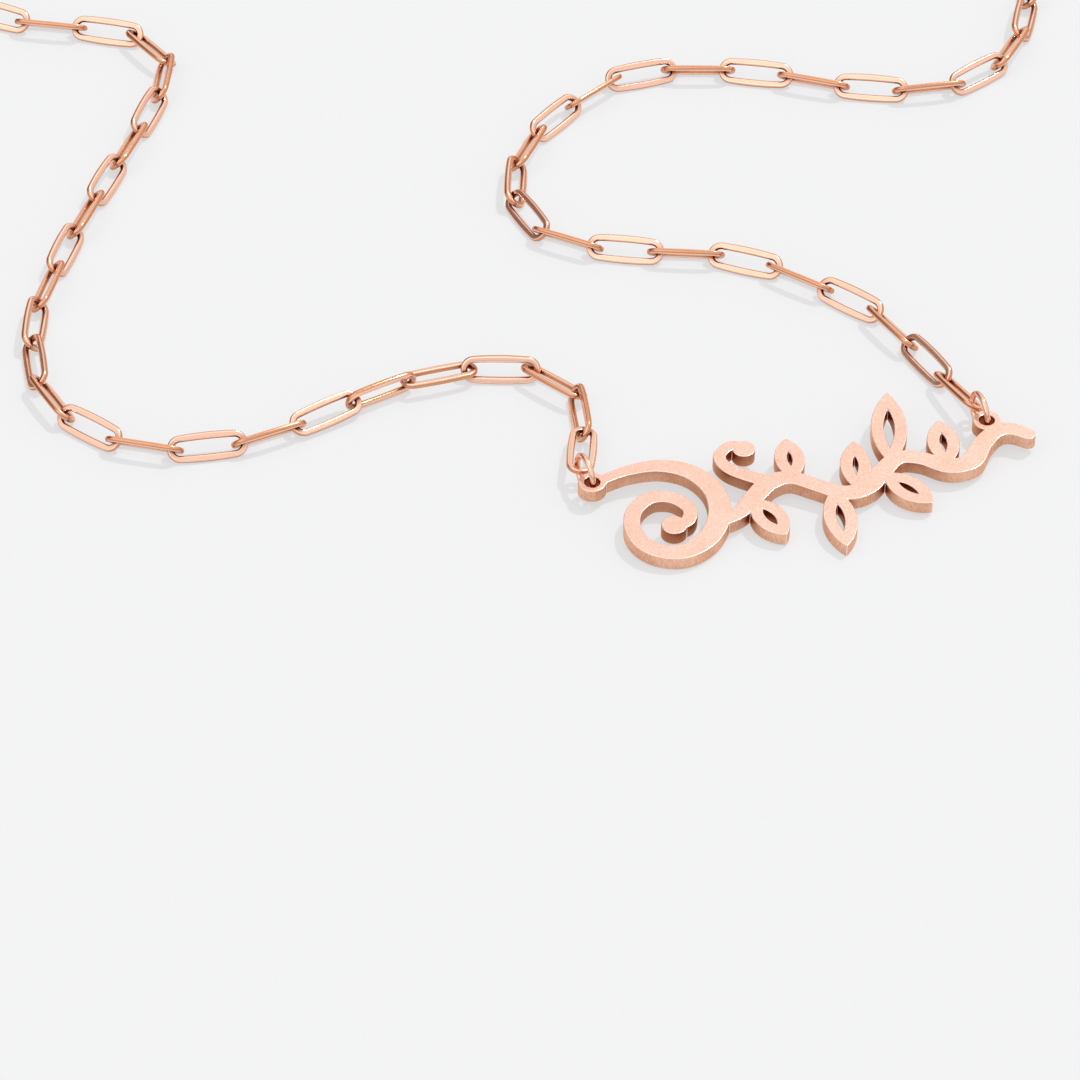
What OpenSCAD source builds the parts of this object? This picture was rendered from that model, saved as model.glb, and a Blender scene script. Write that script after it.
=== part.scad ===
// Nameplate necklace, fastened and lying on a table.
// A pierced ornament plate hangs between two round rings, and two strands of
// long oval links run from the rings to a plain clasp at the back of the loop.
// The origin is on the table, at the middle of the necklace's box.

/* [Nameplate] */
// Length of the plate from the centre of one eyelet to the other
plate_l = 33.4; // [31:0.2:36]
// Height of the ornament from its lowest tip to its highest tip
plate_h = 17; // [15:0.2:19]
// Thickness of the plate
plate_t = 1.2; // [0.8:0.1:1.6]
// Width of a full stroke of the ornament
stroke_w = 1.5; // [1.2:0.05:1.7]
// Wall around the opening of a pierced leaf
leaf_wall = 1.05; // [0.8:0.05:1.15]
// Outside diameter of an eyelet
eyelet_d = 2.3; // [2.1:0.1:2.6]
// Bore of an eyelet
eyelet_bore = 1.3; // [1.2:0.05:1.45]
// Angle of the plate on the table, from its left eyelet to its right one
plate_turn = 14; // [8:1:20]

/* [Jump rings] */
// Outside diameter of a jump ring
ring_d = 3.6; // [3.4:0.1:4.2]
// Wire of a jump ring
ring_wire = 0.5; // [0.4:0.05:0.6]
// Direction in which the left ring leads away from the plate
left_ring_turn = 114; // [108:1:118]
// Direction in which the right ring leads away from the plate
right_ring_turn = 110; // [100:1:120]
// Angle below the middle of a ring at which a link hangs in it
ring_hang = 10; // [0:1:20]

/* [Chain] */
// Outside length of a link
link_l = 6.7; // [6.5:0.05:7]
// Outside width of a link
link_w = 2.45; // [2.4:0.05:2.8]
// Wire of a link, measured across the link's flat face
link_wire = 0.58; // [0.5:0.01:0.6]
// Thickness of the flattened wire
link_t = 0.46; // [0.4:0.01:0.48]
// Lean of the links, which lie alternately to the left and to the right
link_lean = 45; // [40:1:50]

/* [Clasp] */
// Length of the clasp
clasp_l = 9; // [8:0.5:12]
// Width of the clasp at its hook
clasp_w = 4.4; // [4:0.2:6]
// Thickness of the clasp
clasp_t = 1.6; // [1.2:0.1:1.8]
// Width of the hook around the clasp's opening
clasp_rim = 0.8; // [0.6:0.05:1]

/* [Fits] */
// Clearance between pieces that hang in each other
gap = 0.14; // [0.12:0.01:0.16]
// Play of a link in the next one, beyond that clearance
link_play = 0.08; // [0.06:0.01:0.12]
// Slack of a link in the ring that it hangs in
ring_slack = 0.15; // [0.05:0.05:0.3]

/* [Hidden] */

rose_gold = "#e0a585";
$fn = 48;

// Centre of the left eyelet on the table
plate_at = [11.2, -52.9];

// Route of the two strands, from the left ring round the back to the right ring.
// The last column turns the links about the strand's line, in degrees. The row
// after the left strand's is the middle of the clasp, with its heading.
route = [
    [10.6, -45.6, 37], [10.1, -41, 3], [8.8, -37.8, 18], [3.8, -36.9, 17],
    [-0.8, -37.4, 37], [-5.8, -39.7, 56], [-11.5, -43.5, 79], [-17.4, -46.6, 90],
    [-23, -47.5, 90], [-28, -46.2, 90], [-32, -43.1, 90], [-34.5, -38.8, 90],
    [-35.5, -33.7, 90], [-35.4, -28.5, 90], [-33, -17.9, 90], [-29.8, -7.5, 90],
    [-26.8, 2.3, 90], [-26.3, 7.4, 100], [-27.8, 11, 101], [-32.2, 13, 90],
    [-36.9, 13.5, 96], [-43.6, 15.7, 90], [-49.4, 21.7, 90], [-51.3, 29.5, 90],
    [-47, 38, 90], [-39, 46.2, 75], [-28.8, 52.6, 70], [-17.6, 57.6, 70],
    [1, 59.7, -4],
    [13, 58.3, 0], [22, 55.5, 0], [33, 50, 0], [42.5, 42, 0],
    [48.8, 32.5, 0], [51.4, 22.5, 0], [50.8, 15, 0], [48.8, 8.9, 0],
    [45, 4.8, 0], [39.8, 3.5, 0], [34.4, 4, 0], [29.5, 5.5, 0],
    [24.2, 6.5, 0], [19, 6.7, 0], [13.6, 5.1, 0], [9.9, 1.3, 0],
    [6.6, -3.3, 0], [4.9, -8.3, 0], [4.9, -13.5, 0], [7.3, -17.7, 0],
    [11.8, -19.8, 0], [16.8, -20.5, 0], [22.1, -20.9, 0], [27, -22.7, 0],
    [31.3, -25.7, 0], [35.2, -28.9, 0], [38, -33.5, 0], [40.6, -38.1, 5]];
// Number of route points on the left strand
left_points = 28;
clasp_at = plan(route[left_points]);
clasp_turn = route[left_points].z;
// Turn of the links where they hang in the four rings
left_ring_twist = 40;
right_ring_twist = 12;
clasp_ring_twist = 50;
end_ring_twist = -12;

// Sizes of a ring that stands on the table
ring_inner = ring_d / 2 - ring_wire;
ring_z = ring_d / 2;
// Distance from a ring's centre to the bore or opening that it passes through
rim_seat = ring_inner - eyelet_bore / 2;
// Height of an eyelet's underside, which the ring passes under
eyelet_z = ring_z - sqrt(pow(ring_inner, 2) - pow(rim_seat, 2)) + gap;
// Where the first link hangs, out from the ring's centre and above the table
hang_r = ring_inner - gap / 2 - ring_slack;
hang_out = hang_r * cos(ring_hang);
hang_z = ring_z - hang_r * sin(ring_hang);

// Middle line of a link: half its width, and half the length of its straight sides
link_b = (link_w - link_wire) / 2;
link_side = (link_l - link_w) / 2;
link_inner_l = link_l - 2 * link_wire;
pitch_most = link_inner_l - gap - link_play;

// Ornament: shares of its height, as it stands about the line of the eyelets
top_share = 0.3;
low_share = 1 - top_share;
plate_low = low_share * plate_h;
// Slope of the plate, whose lowest tip rests on the table
plate_tilt = asin(eyelet_z / plate_low);

// Smooth curve through a list of points
function spline_at(a, b, c, d, t) =
    0.5 * (2 * b + (c - a) * t + (2 * a - 5 * b + 4 * c - d) * t * t + (3 * b - a - 3 * c + d) * t * t * t);
function spline(p, steps) = concat(
    [for (i = [0 : len(p) - 2]) for (k = [0 : steps - 1])
        spline_at(p[max(i - 1, 0)], p[i], p[i + 1], p[min(i + 2, len(p) - 1)], k / steps)],
    [p[len(p) - 1]]);
function plan(p) = [p.x, p.y];
function run(p, i) = i == 0 ? [0] : let (before = run(p, i - 1))
    concat(before, [before[i - 1] + norm(plan(p[i]) - plan(p[i - 1]))]);
function heading(v) = atan2(v.y, v.x);
function polar(r, angle) = [r * cos(angle), r * sin(angle)];

// Flat ribbon whose width follows the third column of a smooth curve
function side_point(c, i, side) =
    let (v = plan(c[min(i + 1, len(c) - 1)]) - plan(c[max(i - 1, 0)]), n = [-v.y, v.x] / norm(v))
    plan(c[i]) + side * n * c[i].z / 2;
module ribbon(points, steps = 10) {
    c = spline(points, steps);
    last = len(c) - 1;
    polygon(concat([for (i = [0 : last]) side_point(c, i, 1)], [for (i = [last : -1 : 0]) side_point(c, i, -1)]));
    translate(plan(c[0])) circle(d = c[0].z);
    translate(plan(c[last])) circle(d = c[last].z);
}

// Pointed leaf between two round arcs, from its foot at the origin along X
module leaf_shape(length, width, inset = 0) {
    r = (pow(length, 2) + pow(width, 2)) / (4 * width);
    translate([length / 2, 0]) intersection() {
        translate([0, r - width / 2]) circle(r - inset, $fn = 96);
        translate([0, width / 2 - r]) circle(r - inset, $fn = 96);
    }
}

// Strokes of the ornament: shares of the eyelets' distance, of the ornament's
// height and of the stroke's width
scroll = [
    [0.02, 0.0, 0.65], [0.09, 0.04, 0.75], [0.175, 0.04, 0.95], [0.245, -0.04, 1.1],
    [0.28, -0.19, 1.2], [0.27, -0.36, 1.25], [0.22, -0.5, 1.2], [0.15, -0.56, 1.1],
    [0.085, -0.51, 1.0], [0.055, -0.39, 0.95], [0.07, -0.25, 0.9], [0.12, -0.17, 0.9],
    [0.175, -0.19, 0.85], [0.205, -0.28, 0.8], [0.19, -0.36, 0.8], [0.15, -0.38, 0.8]];
stem = [
    [0.27, -0.4, 0.7], [0.32, -0.36, 0.9], [0.37, -0.27, 1.1], [0.42, -0.19, 1.15],
    [0.475, -0.18, 1.0], [0.53, -0.26, 0.95], [0.59, -0.34, 1.1], [0.65, -0.32, 1.15],
    [0.7, -0.23, 1.1], [0.75, -0.16, 1.0], [0.805, -0.19, 1.0], [0.86, -0.27, 1.1],
    [0.92, -0.26, 1.2], [0.965, -0.155, 1.1], [1.01, -0.085, 1.0], [1.05, -0.085, 0.95],
    [1.085, -0.14, 0.8]];
tendril = [
    [0.43, -0.19, 0.9], [0.38, -0.13, 0.85], [0.335, -0.05, 0.75], [0.325, 0.04, 0.7],
    [0.36, 0.1, 0.7], [0.395, 0.075, 0.7]];
// Round buds at the ends of the strokes: x, y and diameter
buds = [[0.155, -0.375, 1.4], [0.39, 0.065, 1.25]];
// Leaves: foot x and y, tip x and y, and the leaf's width as a share of its length
leaves = [
    [0.725, -0.2, 0.79, top_share, 0.34],
    [0.565, -0.3, 0.54, -low_share, 0.4],
    [0.365, -0.28, 0.41, -0.56, 0.55],
    [0.48, -0.19, 0.5, 0.09, 0.52],
    [0.62, -0.33, 0.66, 0.0, 0.44],
    [0.7, -0.25, 0.785, -0.5, 0.52],
    [0.86, -0.26, 0.885, 0.05, 0.5]];

function ornament_size(row) = [row.x * plate_l, row.y * plate_h, row.z * stroke_w];
module stroke(rows) {
    ribbon([for (row = rows) ornament_size(row)]);
}
module leaf(row, inset = 0) {
    foot = [row[0] * plate_l, row[1] * plate_h];
    tip = [row[2] * plate_l, row[3] * plate_h];
    length = norm(tip - foot);
    translate(foot) rotate(heading(tip - foot)) leaf_shape(length, row[4] * length, inset);
}
module ornament() {
    stroke(scroll);
    difference() {
        union() {
            stroke(stem);
            stroke(tendril);
            for (row = leaves) leaf(row);
        }
        for (row = leaves) leaf(row, leaf_wall);
    }
    for (row = buds) translate([row.x * plate_l, row.y * plate_h]) circle(d = row.z * stroke_w);
}

// Places what is drawn about the left eyelet's axis where the plate lies
module on_plate() {
    translate([plate_at.x, plate_at.y, eyelet_z]) rotate([0, 0, plate_turn]) rotate([plate_tilt, 0, 0])
        children();
}
module nameplate() {
    color(rose_gold) on_plate() difference() {
        union() {
            linear_extrude(plate_t) ornament();
            for (x = [0, plate_l]) translate([x, 0, 0]) cylinder(h = plate_t, d = eyelet_d);
        }
        for (x = [0, plate_l]) translate([x, 0, -plate_t]) cylinder(h = 3 * plate_t, d = eyelet_bore);
    }
}

// Round ring that stands on the table and passes through a bore at a point
function ring_centre(at, turn) = plan(at) + polar(ring_inner, turn);
function ring_hanger(at, turn) = let (p = ring_centre(at, turn) + polar(hang_out, turn)) [p.x, p.y, hang_z];
module jump_ring(at, turn) {
    centre = ring_centre(at, turn);
    color(rose_gold) translate([centre.x, centre.y, ring_z]) rotate([90, 0, turn])
        rotate_extrude($fn = 64) translate([ring_inner + ring_wire / 2, 0]) circle(d = ring_wire, $fn = 24);
}

// Link of flattened wire with round ends, flat and along X
module wire_section() {
    intersection() {
        circle(d = link_wire, $fn = 24);
        square([link_wire, link_t], center = true);
    }
}
module link() {
    for (turn = [0, 180]) rotate([0, 0, turn]) {
        translate([link_side, 0, 0]) rotate([0, 0, -90]) rotate_extrude(angle = 180)
            translate([link_b, 0]) wire_section();
        translate([-link_side, link_b, 0]) rotate([90, 0, 90]) linear_extrude(2 * link_side) wire_section();
    }
}
// Height of a link's middle above the table when the link leans by an angle
function link_rise(lean) = link_b * abs(sin(lean)) + link_wire / 2;

// Fewest links that reach a length. The two rings of a strand need an odd number
// of links between them or an even one, because links lean alternately.
function links_over(length, odd) = let (fewest = ceil(length / pitch_most))
    fewest + (fewest + (odd ? 1 : 0)) % 2;

// Strand of links between two hangers, along a route
module strand(points, odd) {
    curve = spline(points, 12);
    length_at = run(curve, len(curve) - 1);
    length = length_at[len(curve) - 1];
    count = links_over(length, odd);
    column = [for (c = [0 : 2]) [for (i = [0 : len(curve) - 1]) [length_at[i], curve[i][c]]]];
    lean = [for (k = [0 : count - 1])
        (k % 2 == 0 ? -link_lean : link_lean) + lookup((k + 0.5) * length / count, column[2])];
    joint = [for (k = [0 : count]) let (s = k * length / count)
        [lookup(s, column[0]), lookup(s, column[1]),
            k == 0 || k == count ? hang_z : max(link_rise(lean[k - 1]), link_rise(lean[k]))]];
    for (k = [0 : count - 1]) {
        v = joint[k + 1] - joint[k];
        translate((joint[k] + joint[k + 1]) / 2)
            rotate([0, -atan2(v.z, norm(plan(v))), heading(v)]) rotate([-lean[k], 0, 0]) link();
    }
}
// Eyes of the clasp, about its middle: the tail's bore and the hook's inner end
clasp_tail = -clasp_l / 2 + eyelet_d / 2;
clasp_mouth = clasp_l / 2 - clasp_rim;
function on_clasp(x) = clasp_at + polar(x, clasp_turn);
// Points that the clasp's two rings pass through, and the rings' directions
clasp_ring_at = on_clasp(clasp_tail);
clasp_ring_turn = clasp_turn + 180;
end_ring_at = on_clasp(clasp_mouth - eyelet_bore / 2);

left_eyelet = plate_at;
right_eyelet = plate_at + polar(plate_l, plate_turn);
function twisted(p, twist) = [p.x, p.y, twist];
left_route = concat(
    [twisted(ring_hanger(left_eyelet, left_ring_turn), left_ring_twist)],
    [for (i = [0 : left_points - 1]) route[i]],
    [twisted(ring_hanger(clasp_ring_at, clasp_ring_turn), clasp_ring_twist)]);
right_route = concat(
    [twisted(ring_hanger(right_eyelet, right_ring_turn), right_ring_twist)],
    [for (i = [len(route) - 1 : -1 : left_points + 1]) route[i]],
    [twisted(ring_hanger(end_ring_at, clasp_turn), end_ring_twist)]);

module jump_ring_left() {
    jump_ring(left_eyelet, left_ring_turn);
}
module jump_ring_right() {
    jump_ring(right_eyelet, right_ring_turn);
}
module clasp_ring() {
    jump_ring(clasp_ring_at, clasp_ring_turn);
}
module end_ring() {
    jump_ring(end_ring_at, clasp_turn);
}
module chain_left() {
    color(rose_gold) strand(left_route, odd = true);
}
module chain_right() {
    color(rose_gold) strand(right_route, odd = false);
}

// Outline of a bar that widens from one round end to another
module tapered(x1, r1, x2, r2, steps = 16) {
    lean = acos((r1 - r2) / (x2 - x1));
    polygon([for (k = [0 : steps]) [x1, 0] + polar(r1, lean + (360 - 2 * lean) * k / steps),
        for (k = [0 : steps]) [x2, 0] + polar(r2, -lean + 2 * lean * k / steps)]);
}
module clasp() {
    hook_x = clasp_l / 2 - clasp_w / 2;
    mouth_r = clasp_w / 2 - clasp_rim;
    heel_r = mouth_r / 2;
    heel_x = clasp_tail + eyelet_d / 2 + clasp_rim / 2 + heel_r;
    color(rose_gold) translate([clasp_at.x, clasp_at.y, eyelet_z]) rotate([0, 0, clasp_turn]) difference() {
        linear_extrude(clasp_t) difference() {
            tapered(clasp_tail, eyelet_d / 2, hook_x, clasp_w / 2);
            tapered(heel_x, heel_r, hook_x, mouth_r);
        }
        translate([clasp_tail, 0, -clasp_t]) cylinder(h = 3 * clasp_t, d = eyelet_bore);
    }
}

nameplate();
jump_ring_left();
jump_ring_right();
chain_left();
chain_right();
clasp_ring();
clasp();
end_ring();
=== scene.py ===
import math

import bpy
import numpy as np
from mathutils import Matrix, Vector


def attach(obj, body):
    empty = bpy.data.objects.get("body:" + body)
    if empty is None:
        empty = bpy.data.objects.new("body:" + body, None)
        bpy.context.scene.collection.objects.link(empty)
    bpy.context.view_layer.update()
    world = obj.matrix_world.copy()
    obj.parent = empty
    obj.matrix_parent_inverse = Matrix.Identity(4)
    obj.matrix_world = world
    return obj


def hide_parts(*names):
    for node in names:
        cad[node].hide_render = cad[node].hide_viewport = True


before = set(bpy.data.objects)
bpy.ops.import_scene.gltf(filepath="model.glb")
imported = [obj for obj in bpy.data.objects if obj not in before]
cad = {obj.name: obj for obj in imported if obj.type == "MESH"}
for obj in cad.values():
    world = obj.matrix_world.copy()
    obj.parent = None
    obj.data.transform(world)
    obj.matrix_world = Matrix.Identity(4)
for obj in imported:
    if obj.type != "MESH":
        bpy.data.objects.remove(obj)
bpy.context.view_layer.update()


# Nameplate: a pierced ornament with an eyelet at each end, laser-cut in one from
# 1.2 mm brass sheet and plated rose gold. The face is finished satin, the walls
# stay as they were cut, and tumbling has rounded the edges a little.

MM = 0.001

cad_weld = 0.001 * MM
plate_weld = 0.03 * MM
flat_join = math.radians(0.6)
sharp_corner = math.radians(38)
facing_up = 0.9
plate_edge = 0.07 * MM
plate_edge_steps = 3

rose_light = (0.87, 0.575, 0.48, 1)
rose_mid = (0.74, 0.435, 0.325, 1)
# Paler tone of the rounded edges, a painted highlight
rose_edge_painted_highlight = (1.0, 0.8, 0.7, 1)
cut_light = (0.96, 0.62, 0.46, 1)
cut_dark = (0.7, 0.35, 0.2, 1)
# Painted shade for the cut walls' hollows and counters
cut_painted_shade = (0.36, 0.11, 0.04, 1)
# Tone that the metal keeps where light glances off it
rose_glance = (1.0, 0.78, 0.66, 1)


def reckon(nodes, operation, second=None):
    """A node that does one sum, with its second number where that is fixed."""
    node = nodes.new("ShaderNodeMath")
    node.operation = operation
    if second is not None:
        node.inputs[1].default_value = second
    return node


def refit(nodes, low, high, to_low=0, to_high=1):
    """A node that fits one range of values to another."""
    node = nodes.new("ShaderNodeMapRange")
    node.inputs["From Min"].default_value = low
    node.inputs["From Max"].default_value = high
    node.inputs["To Min"].default_value = to_low
    node.inputs["To Max"].default_value = to_high
    return node


def blend_colours(nodes, first=None, second=None):
    """A node that blends two colours."""
    node = nodes.new("ShaderNodeMix")
    node.data_type = "RGBA"
    if first is not None:
        node.inputs["A"].default_value = first
    if second is not None:
        node.inputs["B"].default_value = second
    return node


def metal_grain():
    """Grain of worked metal: fine pits in height and polish over a broad, faint change of tone."""
    group = bpy.data.node_groups.new("metal_grain", "ShaderNodeTree")
    group.interface.new_socket("Vector", in_out="INPUT", socket_type="NodeSocketVector")
    for label in ("Grain Scale", "Cloud Scale", "Contrast", "Smoothest", "Roughest"):
        group.interface.new_socket(label, in_out="INPUT", socket_type="NodeSocketFloat")
    for label in ("Tone", "Roughness", "Height"):
        group.interface.new_socket(label, in_out="OUTPUT", socket_type="NodeSocketFloat")
    nodes, links = group.nodes, group.links
    into = nodes.new("NodeGroupInput")
    out = nodes.new("NodeGroupOutput")
    fine = nodes.new("ShaderNodeTexNoise")
    fine.inputs["Detail"].default_value = 3
    broad = nodes.new("ShaderNodeTexNoise")
    broad.inputs["Detail"].default_value = 2
    noise_middle, noise_low, noise_high = 0.5, 0.3, 0.7
    centred = reckon(nodes, "SUBTRACT", noise_middle)
    speckle = reckon(nodes, "MULTIPLY")
    tone = reckon(nodes, "ADD")
    tone.use_clamp = True
    polish = refit(nodes, noise_low, noise_high)
    links.new(into.outputs["Vector"], fine.inputs["Vector"])
    links.new(into.outputs["Vector"], broad.inputs["Vector"])
    links.new(into.outputs["Grain Scale"], fine.inputs["Scale"])
    links.new(into.outputs["Cloud Scale"], broad.inputs["Scale"])
    links.new(fine.outputs["Fac"], centred.inputs[0])
    links.new(centred.outputs["Value"], speckle.inputs[0])
    links.new(into.outputs["Contrast"], speckle.inputs[1])
    links.new(speckle.outputs["Value"], tone.inputs[0])
    links.new(broad.outputs["Fac"], tone.inputs[1])
    links.new(fine.outputs["Fac"], polish.inputs["Value"])
    links.new(into.outputs["Smoothest"], polish.inputs["To Min"])
    links.new(into.outputs["Roughest"], polish.inputs["To Max"])
    links.new(tone.outputs["Value"], out.inputs["Tone"])
    links.new(polish.outputs["Result"], out.inputs["Roughness"])
    links.new(fine.outputs["Fac"], out.inputs["Height"])
    return group


grain = metal_grain()


def gold_finish(name, dark, light, polish, grain_scale, cloud_scale, contrast, relief, stretch=(1, 1, 1)):
    """Plated brass between two tones, whose grain runs as it is stretched."""
    material = bpy.data.materials.new(name)
    material.use_nodes = True
    nodes, links = material.node_tree.nodes, material.node_tree.links
    shader = nodes["Principled BSDF"]
    shader.inputs["Metallic"].default_value = 1
    shader.inputs["Specular Tint"].default_value = rose_glance
    place = nodes.new("ShaderNodeTexCoord")
    run = nodes.new("ShaderNodeMapping")
    run.inputs["Scale"].default_value = stretch
    worked = nodes.new("ShaderNodeGroup")
    worked.node_tree = grain
    worked.inputs["Grain Scale"].default_value = grain_scale
    worked.inputs["Cloud Scale"].default_value = cloud_scale
    worked.inputs["Contrast"].default_value = contrast
    worked.inputs["Smoothest"].default_value = polish[0]
    worked.inputs["Roughest"].default_value = polish[1]
    colour = blend_colours(nodes, dark, light)
    colour.name = "plating"
    bump = nodes.new("ShaderNodeBump")
    bump.inputs["Strength"].default_value = 1
    bump.inputs["Distance"].default_value = relief
    links.new(place.outputs["Object"], run.inputs["Vector"])
    links.new(run.outputs["Vector"], worked.inputs["Vector"])
    links.new(worked.outputs["Tone"], colour.inputs["Factor"])
    links.new(worked.outputs["Roughness"], shader.inputs["Roughness"])
    links.new(worked.outputs["Height"], bump.inputs["Height"])
    links.new(colour.outputs["Result"], shader.inputs["Base Color"])
    links.new(bump.outputs["Normal"], shader.inputs["Normal"])
    return material


def paint_recess_shade(material, shade_tone, shade_reach, closed, open_sky):
    """Paints shade into a material's colour in its hollows and where parts meet, judged by how open the
    surface is.
    """
    nodes, links = material.node_tree.nodes, material.node_tree.links
    skin = nodes["Principled BSDF"].inputs["Base Color"]
    # Painted shade: the colour is darkened where the surface is closed in, as shade falls there
    openness = nodes.new("ShaderNodeAmbientOcclusion")
    openness.only_local = True
    openness.samples = 16
    openness.inputs["Distance"].default_value = shade_reach
    bright = refit(nodes, closed, open_sky)
    shaded_colour = blend_colours(nodes, shade_tone)
    links.new(openness.outputs["AO"], bright.inputs["Value"])
    links.new(bright.outputs["Result"], shaded_colour.inputs["Factor"])
    links.new(skin.links[0].from_socket, shaded_colour.inputs["B"])
    links.new(shaded_colour.outputs["Result"], skin)


satin_face = gold_finish(
    "rose_gold_satin", rose_mid, rose_light, polish=(0.34, 0.46),
    grain_scale=9000, cloud_scale=300, contrast=3.0, relief=0.004 * MM)
cut_wall = gold_finish(
    "rose_gold_cut", cut_dark, cut_light, polish=(0.3, 0.5),
    grain_scale=9000, cloud_scale=700, contrast=2.2, relief=0.01 * MM, stretch=(1, 1, 0.3))
# The rounded edges are polished smoother, and their paler tone is a painted highlight
tumbled_edge_painted_highlight = gold_finish(
    "rose_gold_edge_painted_highlight", rose_light, rose_edge_painted_highlight, polish=(0.26, 0.36),
    grain_scale=6000, cloud_scale=500, contrast=1.0, relief=0.001 * MM)
# The cut walls get painted shade in the counters and hollows, where they are closed in
paint_recess_shade(cut_wall, cut_painted_shade, shade_reach=3.5 * MM, closed=0.45, open_sky=1)


def edit_all():
    """Goes to edit mode with the whole active piece selected."""
    bpy.ops.object.mode_set(mode="EDIT")
    bpy.ops.mesh.select_all(action="SELECT")


def take_copy(node, name):
    """A welded copy of a CAD piece's mesh, alone in the selection."""
    bpy.ops.object.select_all(action="DESELECT")
    piece = bpy.data.objects.new(name, cad[node].data.copy())
    bpy.context.scene.collection.objects.link(piece)
    piece.data.materials.clear()
    piece.select_set(True)
    bpy.context.view_layer.objects.active = piece
    edit_all()
    bpy.ops.mesh.remove_doubles(threshold=cad_weld)
    bpy.ops.object.mode_set(mode="OBJECT")
    return piece


def apply_all(piece):
    """Applies every modifier of the active piece."""
    for name in [m.name for m in piece.modifiers]:
        bpy.ops.object.modifier_apply(modifier=name)


def round_edges(piece, width, steps, slot=-1):
    """Rounds the sharp edges of the active piece, and shades it smooth between those left."""
    rounding = piece.modifiers.new("edges", "BEVEL")
    rounding.width = width
    rounding.segments = steps
    rounding.limit_method = "ANGLE"
    rounding.angle_limit = sharp_corner
    rounding.use_clamp_overlap = False
    rounding.material = slot
    apply_all(piece)
    bpy.ops.object.shade_smooth_by_angle(angle=sharp_corner)


def level_faces(piece):
    """Shades the broad faces of the active piece as flat as they are."""
    level = piece.modifiers.new("flat_face", "WEIGHTED_NORMAL")
    level.keep_sharp = True
    apply_all(piece)


plate = take_copy("nameplate", "nameplate_cut")
edit_all()
bpy.ops.mesh.remove_doubles(threshold=plate_weld)
bpy.ops.mesh.dissolve_limited(angle_limit=flat_join)
bpy.ops.object.mode_set(mode="OBJECT")
for material in (satin_face, cut_wall, tumbled_edge_painted_highlight):
    plate.data.materials.append(material)
for face in plate.data.polygons:
    face.material_index = 0 if abs(face.normal.z) > facing_up else 1
round_edges(plate, plate_edge, plate_edge_steps, slot=2)
level_faces(plate)
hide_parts("nameplate")
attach(plate, "root")


# Jump rings and the clasp's two rings: round brass wire bent to a ring, closed on
# itself with a hair of the cut still open, plated and polished.

ring_cut = math.radians(1.6)
ring_cut_at = math.radians(-40)
ring_round = 72
wire_round = 20
wire_smooth = math.radians(50)
wire_weld = 0.0001 * MM

gold_light = (1.0, 0.72, 0.61, 1)
gold_mid = (0.86, 0.45, 0.28, 1)
# Painted shade for the rings, clasp and links, where they are closed in and where they meet
wire_painted_shade = (0.22, 0.055, 0.012, 1)
wire_shade_reach = 1.6 * MM

ring_gold = gold_finish(
    "rose_gold_ring", gold_mid, gold_light, polish=(0.12, 0.22),
    grain_scale=5000, cloud_scale=900, contrast=1.2, relief=0.001 * MM)
# The rings and the clasp get painted shade in their hollows
paint_recess_shade(ring_gold, wire_painted_shade, wire_shade_reach, closed=0.3, open_sky=0.9)


def seat_of(piece, upright=False):
    """Where a piece lies: a matrix of its long, broad and thin axes and middle, and its three sizes."""
    middles = np.array([face.center for face in piece.data.polygons])
    areas = np.array([face.area for face in piece.data.polygons])
    centre = areas @ middles / areas.sum()
    spread = (middles - centre).T @ ((middles - centre) * areas[:, None])
    axes = np.linalg.eigh(spread)[1]
    thin = axes[:, 0]
    long = np.array([0.0, 0.0, 1.0]) if upright else axes[:, 2]
    broad = np.cross(thin, long)
    turn = np.array([long, broad / np.linalg.norm(broad), thin])
    corners = np.array([v.co for v in piece.data.vertices]) @ turn.T
    low, high = corners.min(0), corners.max(0)
    seat = Matrix(turn.T.tolist()).to_4x4()
    seat.translation = Vector(turn.T @ ((low + high) / 2))
    return seat, high - low


def wire_ring(name, seat, across, wire):
    """A ring of round wire, bent about its axis, with a fine cut left in it."""
    bpy.ops.object.select_all(action="DESELECT")
    bpy.ops.mesh.primitive_circle_add(
        vertices=wire_round, radius=wire / 2, fill_type="NGON",
        location=((across - wire) / 2, 0, 0), rotation=(math.pi / 2, 0, 0))
    ring = bpy.context.object
    ring.name = name
    bpy.ops.object.transform_apply(location=True, rotation=True, scale=True)
    edit_all()
    bpy.ops.mesh.spin(steps=ring_round, angle=2 * math.pi - ring_cut, center=(0, 0, 0), axis=(0, 0, 1))
    bpy.ops.mesh.select_all(action="SELECT")
    bpy.ops.mesh.remove_doubles(threshold=wire_weld)
    bpy.ops.mesh.normals_make_consistent(inside=False)
    bpy.ops.object.mode_set(mode="OBJECT")
    ring.data.transform(seat @ Matrix.Rotation(ring_cut_at, 4, "Z"))
    bpy.ops.object.shade_smooth_by_angle(angle=wire_smooth)
    ring.data.materials.append(ring_gold)
    return ring


for node in ("jump_ring_left", "jump_ring_right", "clasp_ring", "end_ring"):
    pattern = take_copy(node, node + "_pattern")
    seat, sizes = seat_of(pattern, upright=True)
    ring = wire_ring(node + "_wire", seat, sizes[1], sizes[2])
    bpy.data.objects.remove(pattern)
    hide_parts(node)
    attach(ring, "root")


# Chain: long links of brass wire, each bent to an oval, soldered and rolled flat on
# both faces, then plated and polished. Every link is the same, so one is modelled
# and copied to where each link of the two strands lies.

link_wire = 0.58 * MM
link_round = 44
link_wire_round = 24
straight_cuts = 7
# Bow of the long sides: share of the half length that a step covers, and its growth
link_bow = ((0.9, 1.035), (0.7, 1.024), (0.45, 1.014), (0.2, 1.005))

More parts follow.
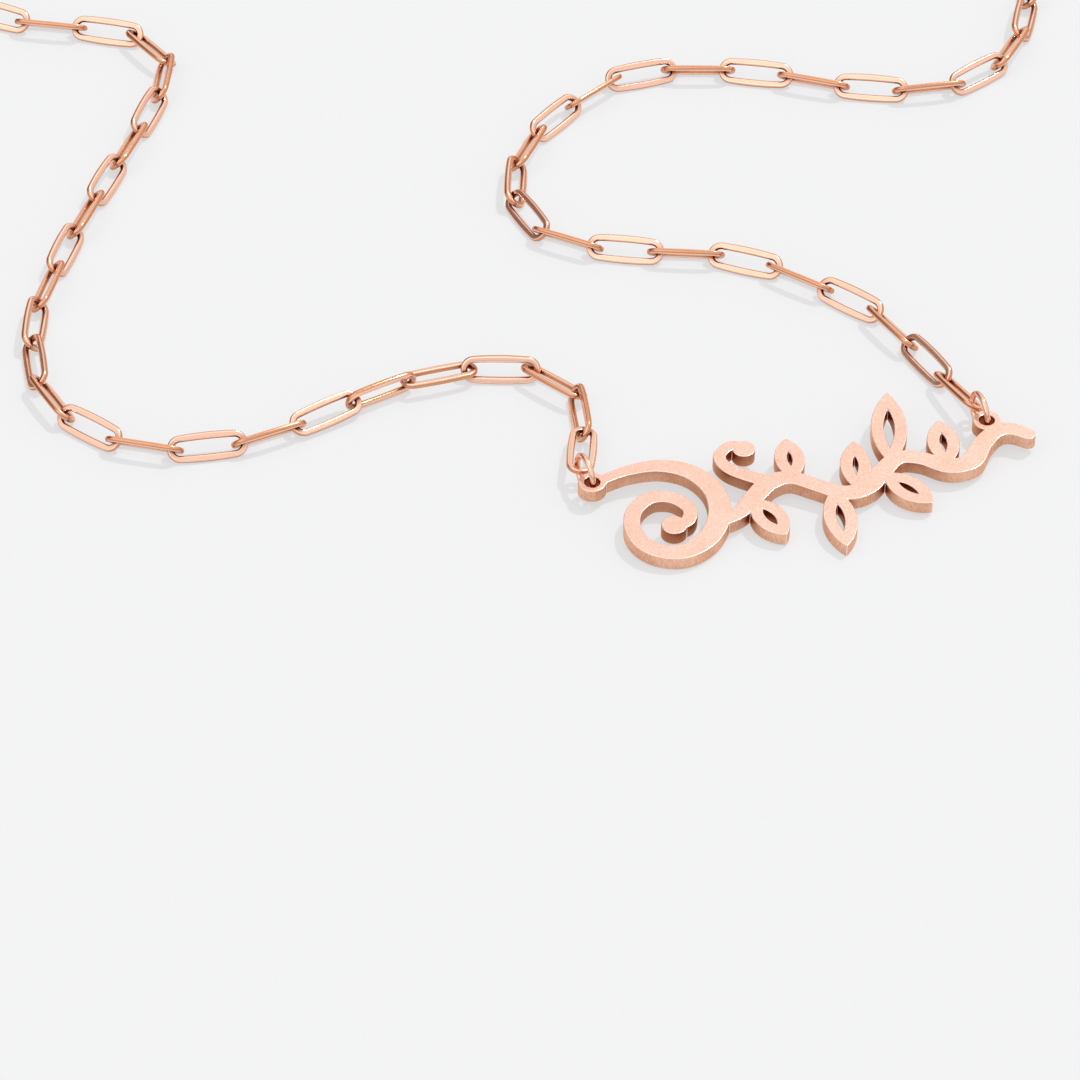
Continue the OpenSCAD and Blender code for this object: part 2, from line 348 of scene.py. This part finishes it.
# Painted highlight and shade across the wire of each link, set by where a point lies around the wire
wire_face_painted_light = (1.0, 0.57, 0.4, 1)
wire_edge_painted_highlight = (1.0, 0.78, 0.66, 1)
wire_side_painted_shade = (0.68, 0.275, 0.12, 1)
# Painted light across the wire: a flat face's middle, a painted highlight over its edge, painted shade at
# the wire's side
wire_painted_light = ((0.1, wire_face_painted_light), (0.27, wire_edge_painted_highlight), (0.42, wire_edge_painted_highlight), (0.78, wire_side_painted_shade))
# The painted highlight and shade run from face to side and back twice in a turn of the wire
waves_to_turn = 2
# Share of the plating's own tone against the painted light, and how far the streaks shift the painted light
plating_share = 0.2
streak_shift = -0.3
# Streaks to a turn of the link and of its wire, and their change from link to link
wire_streaks = (2.5, 9, 1)
wire_change = (60, 60, 60)


def rolled_finish_with_painted_light():
    """Gold with faint streaks along the wire, and light and shade painted across it: a painted highlight at
    the flat faces' edges and painted shade on the wire's sides.
    """
    material = gold_finish(
        "rose_gold_rolled_painted_light", gold_mid, gold_light, polish=(0.15, 0.27),
        grain_scale=7000, cloud_scale=700, contrast=1.8, relief=0.001 * MM)
    nodes, links = material.node_tree.nodes, material.node_tree.links
    place = nodes["Texture Coordinate"]
    along = nodes.new("ShaderNodeMapping")
    along.inputs["Scale"].default_value = wire_streaks
    change = nodes.new("ShaderNodeVectorMath")
    change.operation = "MULTIPLY_ADD"
    change.inputs[1].default_value = wire_change
    streaks = nodes.new("ShaderNodeGroup")
    streaks.node_tree = grain
    streaks.inputs["Grain Scale"].default_value = 1
    streaks.inputs["Cloud Scale"].default_value = 0.4
    streaks.inputs["Contrast"].default_value = 1.5
    parts = nodes.new("ShaderNodeSeparateXYZ")
    turns = reckon(nodes, "MULTIPLY", waves_to_turn * 2 * math.pi)
    side = reckon(nodes, "COSINE")
    across = refit(nodes, low=-1, high=1, to_low=0.15, to_high=1.15)
    streaked_across = reckon(nodes, "MULTIPLY_ADD", streak_shift)
    tones = nodes.new("ShaderNodeValToRGB")
    tones.color_ramp.elements[0].position, tones.color_ramp.elements[0].color = wire_painted_light[0]
    tones.color_ramp.elements[1].position, tones.color_ramp.elements[1].color = wire_painted_light[-1]
    for position, tone in wire_painted_light[1:-1]:
        tones.color_ramp.elements.new(position).color = tone
    plated = blend_colours(nodes)
    plated.inputs["Factor"].default_value = plating_share
    links.new(place.outputs["UV"], along.inputs["Vector"])
    links.new(place.outputs["Object"], change.inputs[0])
    links.new(along.outputs["Vector"], change.inputs[2])
    links.new(change.outputs["Vector"], streaks.inputs["Vector"])
    links.new(place.outputs["UV"], parts.inputs["Vector"])
    links.new(parts.outputs["Y"], turns.inputs[0])
    links.new(turns.outputs["Value"], side.inputs[0])
    links.new(side.outputs["Value"], across.inputs["Value"])
    links.new(streaks.outputs["Tone"], streaked_across.inputs[0])
    links.new(across.outputs["Result"], streaked_across.inputs[2])
    links.new(streaked_across.outputs["Value"], tones.inputs["Fac"])
    links.new(tones.outputs["Color"], plated.inputs["A"])
    links.new(nodes["plating"].outputs["Result"], plated.inputs["B"])
    links.new(plated.outputs["Result"], nodes["Principled BSDF"].inputs["Base Color"])
    return material


# The chain's gold has painted highlights and shade across its wire, and painted shade where links meet and
# are closed in
rolled_gold_with_painted_light = rolled_finish_with_painted_light()
paint_recess_shade(rolled_gold_with_painted_light, wire_painted_shade, wire_shade_reach, closed=0.3, open_sky=0.87)


def pick_points(piece, wanted):
    """Goes to edit mode with the points selected that lie where they are wanted."""
    for vertex in piece.data.vertices:
        vertex.select = bool(wanted(vertex.co))
    bpy.ops.object.mode_set(mode="EDIT")


def drop_points():
    """Deselects all and leaves edit mode."""
    bpy.ops.mesh.select_all(action="DESELECT")
    bpy.ops.object.mode_set(mode="OBJECT")


def rolled_link(sizes):
    """One link about the origin, lying flat along X."""
    long, broad, thick = sizes
    end_broad = broad / math.prod(growth for share, growth in link_bow)
    reach = (long - end_broad) / 2
    bpy.ops.object.select_all(action="DESELECT")
    bpy.ops.mesh.primitive_torus_add(
        location=(0, 0, 0), rotation=(0, 0, 0), major_segments=link_round, minor_segments=link_wire_round,
        major_radius=(end_broad - link_wire) / 2, minor_radius=link_wire / 2, generate_uvs=True)
    link = bpy.context.object
    link.name = "link_pattern"
    link.data.transform(Matrix.Rotation(math.pi / link_round, 4, "Z"))
    bpy.ops.object.mode_set(mode="EDIT")
    bpy.ops.mesh.select_mode(type="VERT")
    drop_points()
    # Its two halves are drawn apart
    for end in (1, -1):
        pick_points(link, lambda co: co.x * end > 0)
        bpy.ops.transform.translate(value=(end * reach, 0, 0))
        drop_points()
    # Its sides are cut across and bowed, and it is brought back to its full breadth
    bpy.ops.object.mode_set(mode="EDIT")
    bpy.ops.mesh.select_mode(type="EDGE")
    bpy.ops.object.mode_set(mode="OBJECT")
    for edge in link.data.edges:
        a, b = (link.data.vertices[i].co for i in edge.vertices)
        edge.select = a.x * b.x < 0
    bpy.ops.object.mode_set(mode="EDIT")
    bpy.ops.mesh.subdivide(number_cuts=straight_cuts)
    bpy.ops.mesh.select_mode(type="VERT")
    drop_points()
    for share, growth in link_bow:
        pick_points(link, lambda co: abs(co.x) < share * reach)
        bpy.ops.transform.resize(value=(1, growth, 1), center_override=(0, 0, 0))
        drop_points()
    edit_all()
    bpy.ops.transform.resize(value=(1, broad / link.dimensions.y, 1), center_override=(0, 0, 0))
    drop_points()
    # Both faces are rolled flat
    for side in (1, -1):
        pick_points(link, lambda co: co.z * side > thick / 2)
        bpy.ops.transform.resize(value=(1, 1, 0), center_override=(0, 0, side * thick / 2))
        drop_points()
    bpy.ops.object.shade_smooth()
    level_faces(link)
    link.data.materials.append(rolled_gold_with_painted_light)
    return link


pattern_link = None
for strand in ("chain_left", "chain_right"):
    take_copy(strand, strand + "_pattern")
    edit_all()
    bpy.ops.mesh.separate(type="LOOSE")
    bpy.ops.object.mode_set(mode="OBJECT")
    lying = list(bpy.context.selected_objects)
    placed_links = []
    for shape in lying:
        seat, sizes = seat_of(shape)
        if pattern_link is None:
            pattern_link = rolled_link(sizes)
        placed = pattern_link.copy()
        placed.data = pattern_link.data.copy()
        placed.data.transform(seat)
        bpy.context.scene.collection.objects.link(placed)
        placed_links.append(placed)
    for shape in lying:
        bpy.data.objects.remove(shape)
    bpy.ops.object.select_all(action="DESELECT")
    for placed in placed_links:
        placed.select_set(True)
    chain = placed_links[0]
    bpy.context.view_layer.objects.active = chain
    bpy.ops.object.join()
    chain.name = strand + "_links"
    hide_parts(strand)
    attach(chain, "root")
bpy.data.objects.remove(pattern_link)


# Clasp: a plain hook cast in one with the bore for its ring, its edges rounded by
# casting and polishing, and plated like the chain.

clasp_edge = 0.17 * MM
clasp_edge_steps = 4

clasp = take_copy("clasp", "clasp_cast")
edit_all()
bpy.ops.mesh.dissolve_limited(angle_limit=flat_join)
bpy.ops.object.mode_set(mode="OBJECT")
round_edges(clasp, clasp_edge, clasp_edge_steps)
clasp.data.materials.append(ring_gold)
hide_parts("clasp")
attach(clasp, "root")


# Table: a plain pale sheet that glows a little, as a light table does, under a soft
# white room and one small lamp at the back right, which gives the faint shadows.

table_size = 8
table_white = (0.24, 0.24, 0.242, 1)
table_glow = (0.556, 0.561, 0.566, 1)
lamp_strength = 1.6
lamp_breadth = math.radians(3)
lamp_from = Vector((0.44, 0.36, 1))
room_white = (0.97, 0.97, 0.97, 1)
room_lamp = (1.4, 1.38, 1.36, 1)
room_brown = (0.14, 0.05, 0.02, 1)
# Patches of the room: direction, cosine where it starts and where it is full, colour and cover
patches = (
    ((0, 0, -1), -0.36, -0.06, room_brown, 0.6),
    ((-0.8, 0.55, 0.22), 0.75, 0.97, room_brown, 0.85),
    ((-0.42, -0.5, 0.75), 0.8, 0.95, room_lamp, 1),
)

bpy.ops.object.select_all(action="DESELECT")
bpy.ops.mesh.primitive_plane_add(size=table_size, location=(0, 0, 0))
table = bpy.context.object
table.name = "table"
pale = bpy.data.materials.new("pale_sheet")
pale.use_nodes = True
sheet = pale.node_tree.nodes["Principled BSDF"]
sheet.inputs["Base Color"].default_value = table_white
sheet.inputs["Emission Color"].default_value = table_glow
sheet.inputs["Emission Strength"].default_value = 1
sheet.inputs["Roughness"].default_value = 0.9
sheet.inputs["Specular IOR Level"].default_value = 0.0
table.data.materials.append(pale)

sun = bpy.data.objects.new("lamp", bpy.data.lights.new("lamp", "SUN"))
sun.data.energy = lamp_strength
sun.data.angle = lamp_breadth
sun.rotation_euler = lamp_from.to_track_quat("Z", "Y").to_euler()
bpy.context.scene.collection.objects.link(sun)

room = bpy.data.worlds.new("white_room")
room.use_nodes = True
bpy.context.scene.world = room
nodes, links = room.node_tree.nodes, room.node_tree.links
way = nodes.new("ShaderNodeTexCoord")
tone = None
for towards, start, full, paint, cover in patches:
    facing = nodes.new("ShaderNodeVectorMath")
    facing.operation = "DOT_PRODUCT"
    facing.inputs[1].default_value = Vector(towards).normalized()
    spread = refit(nodes, start, full, 0, cover)
    spread.interpolation_type = "SMOOTHSTEP"
    blend = blend_colours(nodes, room_white, paint)
    links.new(way.outputs["Generated"], facing.inputs[0])
    links.new(facing.outputs["Value"], spread.inputs["Value"])
    links.new(spread.outputs["Result"], blend.inputs["Factor"])
    if tone is not None:
        links.new(tone.outputs["Result"], blend.inputs["A"])
    tone = blend
links.new(tone.outputs["Result"], nodes["Background"].inputs["Color"])


# Camera: a long lens 0.47 m from the nameplate, looking down at about 40 degrees, so
# that near and far links come out almost alike in size.

camera = bpy.data.objects.new("camera", bpy.data.cameras.new("camera"))
camera.data.sensor_width = 36
camera.data.lens = 190.1
camera.data.clip_start = 0.02
camera.data.clip_end = 20
camera.location = (7 * MM, -411.5 * MM, 292.5 * MM)
camera.rotation_euler = (math.radians(50.4), 0, 0)
bpy.context.scene.collection.objects.link(camera)
bpy.context.scene.camera = camera
bpy.context.scene.view_settings.view_transform = "Standard"
